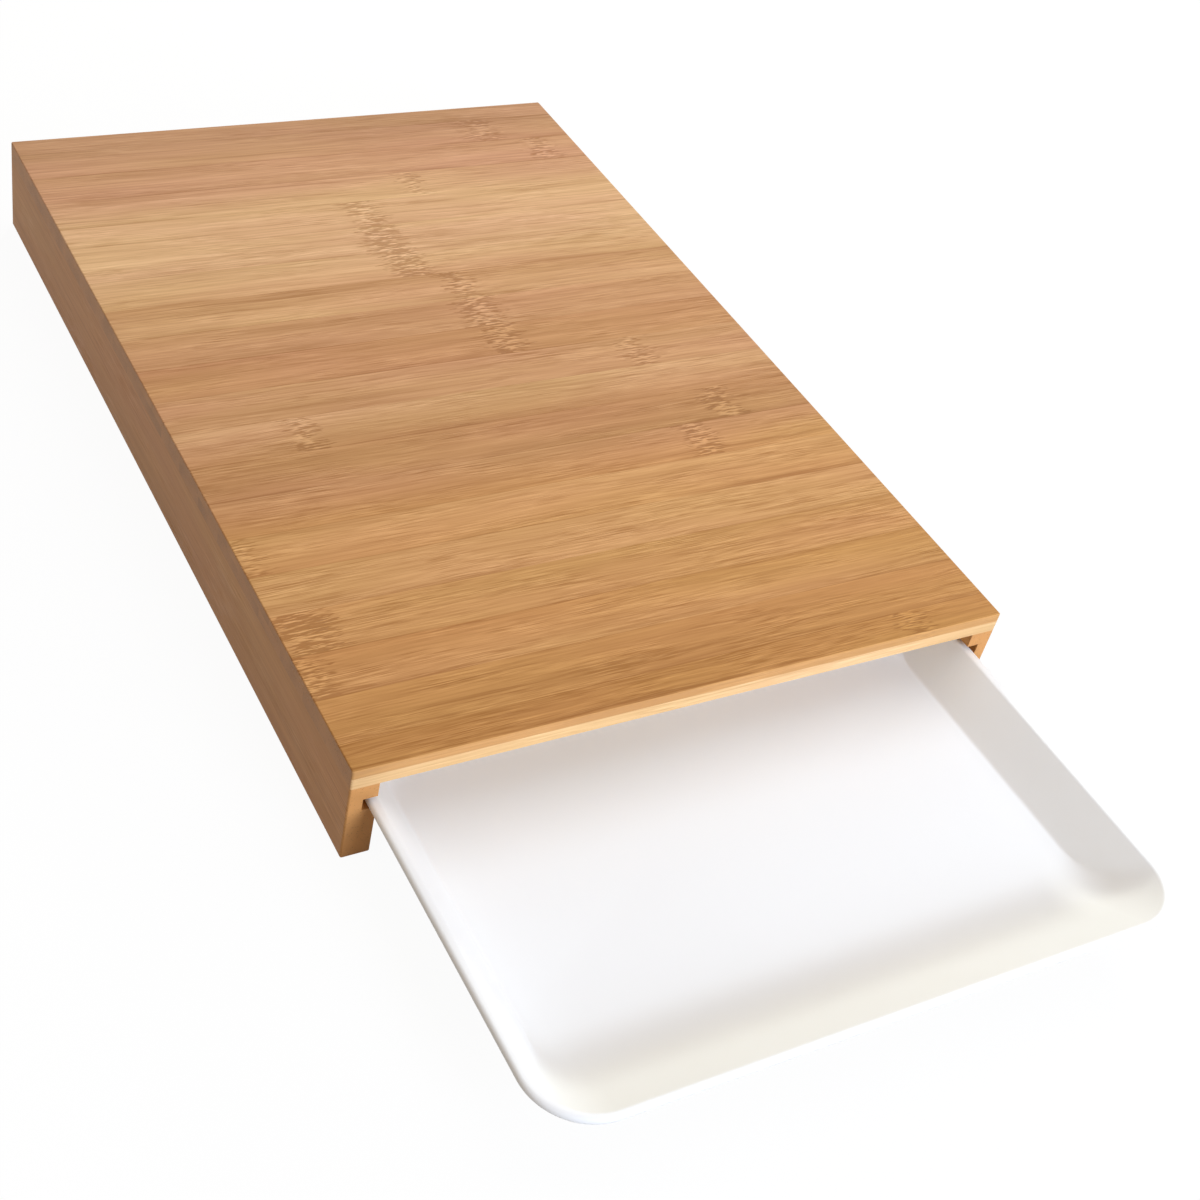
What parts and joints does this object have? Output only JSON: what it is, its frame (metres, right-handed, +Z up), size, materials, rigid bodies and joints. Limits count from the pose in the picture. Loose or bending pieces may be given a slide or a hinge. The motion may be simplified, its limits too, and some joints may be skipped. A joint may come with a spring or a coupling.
{
  "type": "cutting board with drawer trays",
  "caption": "Rectangular bamboo cutting board raised on grooved side rails, with a shallow white moulded tray that slides out from under each end.",
  "frame": {"origin": "on the table, under the middle of the box round the board and the drawn-out front tray", "axes": "+X across the board, +Y along the board to its back end, +Z up"},
  "size_m": [0.255, 0.5074, 0.04],
  "materials": {
    "bamboo_top": "carbonised bamboo, sanded and oiled",
    "bamboo_core": "natural pale bamboo, sanded and oiled",
    "bamboo_rail": "carbonised bamboo, milled and oiled",
    "beech_dowel": "turned beech, bare",
    "white_plastic": "white injection-moulded plastic, fine satin"
  },
  "bodies": {
    "board": {"top_strip_01": "bamboo_top", "top_strip_02": "bamboo_top", "top_strip_03": "bamboo_top", "top_strip_04": "bamboo_top", "top_strip_05": "bamboo_top", "top_strip_06": "bamboo_top", "top_strip_07": "bamboo_top", "top_strip_08": "bamboo_top", "top_strip_09": "bamboo_top", "top_strip_10": "bamboo_top", "top_strip_11": "bamboo_top", "top_strip_12": "bamboo_top", "top_strip_13": "bamboo_top", "top_strip_14": "bamboo_top", "top_strip_15": "bamboo_top", "top_strip_16": "bamboo_top", "top_strip_17": "bamboo_top", "top_strip_18": "bamboo_top", "top_strip_19": "bamboo_top", "top_strip_20": "bamboo_top", "bottom_strip_01": "bamboo_core", "bottom_strip_02": "bamboo_core", "bottom_strip_03": "bamboo_core", "bottom_strip_04": "bamboo_core", "bottom_strip_05": "bamboo_core", "bottom_strip_06": "bamboo_core", "bottom_strip_07": "bamboo_core", "bottom_strip_08": "bamboo_core", "bottom_strip_09": "bamboo_core", "bottom_strip_10": "bamboo_core", "bottom_strip_11": "bamboo_core", "bottom_strip_12": "bamboo_core", "bottom_strip_13": "bamboo_core", "bottom_strip_14": "bamboo_core", "bottom_strip_15": "bamboo_core", "bottom_strip_16": "bamboo_core", "bottom_strip_17": "bamboo_core", "bottom_strip_18": "bamboo_core", "bottom_strip_19": "bamboo_core", "left_rail": "bamboo_rail", "right_rail": "bamboo_rail", "centre_stop": "bamboo_rail", "left_rail_dowels": "beech_dowel", "right_rail_dowels": "beech_dowel", "stop_dowels": "beech_dowel"},
    "front_tray": {"front_tray": "white_plastic"},
    "back_tray": {"back_tray": "white_plastic"}
  },
  "joints": [
    {"name": "front_tray_slide", "type": "slide", "parent": "board", "child": "front_tray", "axis": [0, -1, 0], "range_m": [-0.129, 0.025]},
    {"name": "back_tray_slide", "type": "slide", "parent": "board", "child": "back_tray", "axis": [0, 1, 0], "range_m": [0, 0.154]}
  ]
}
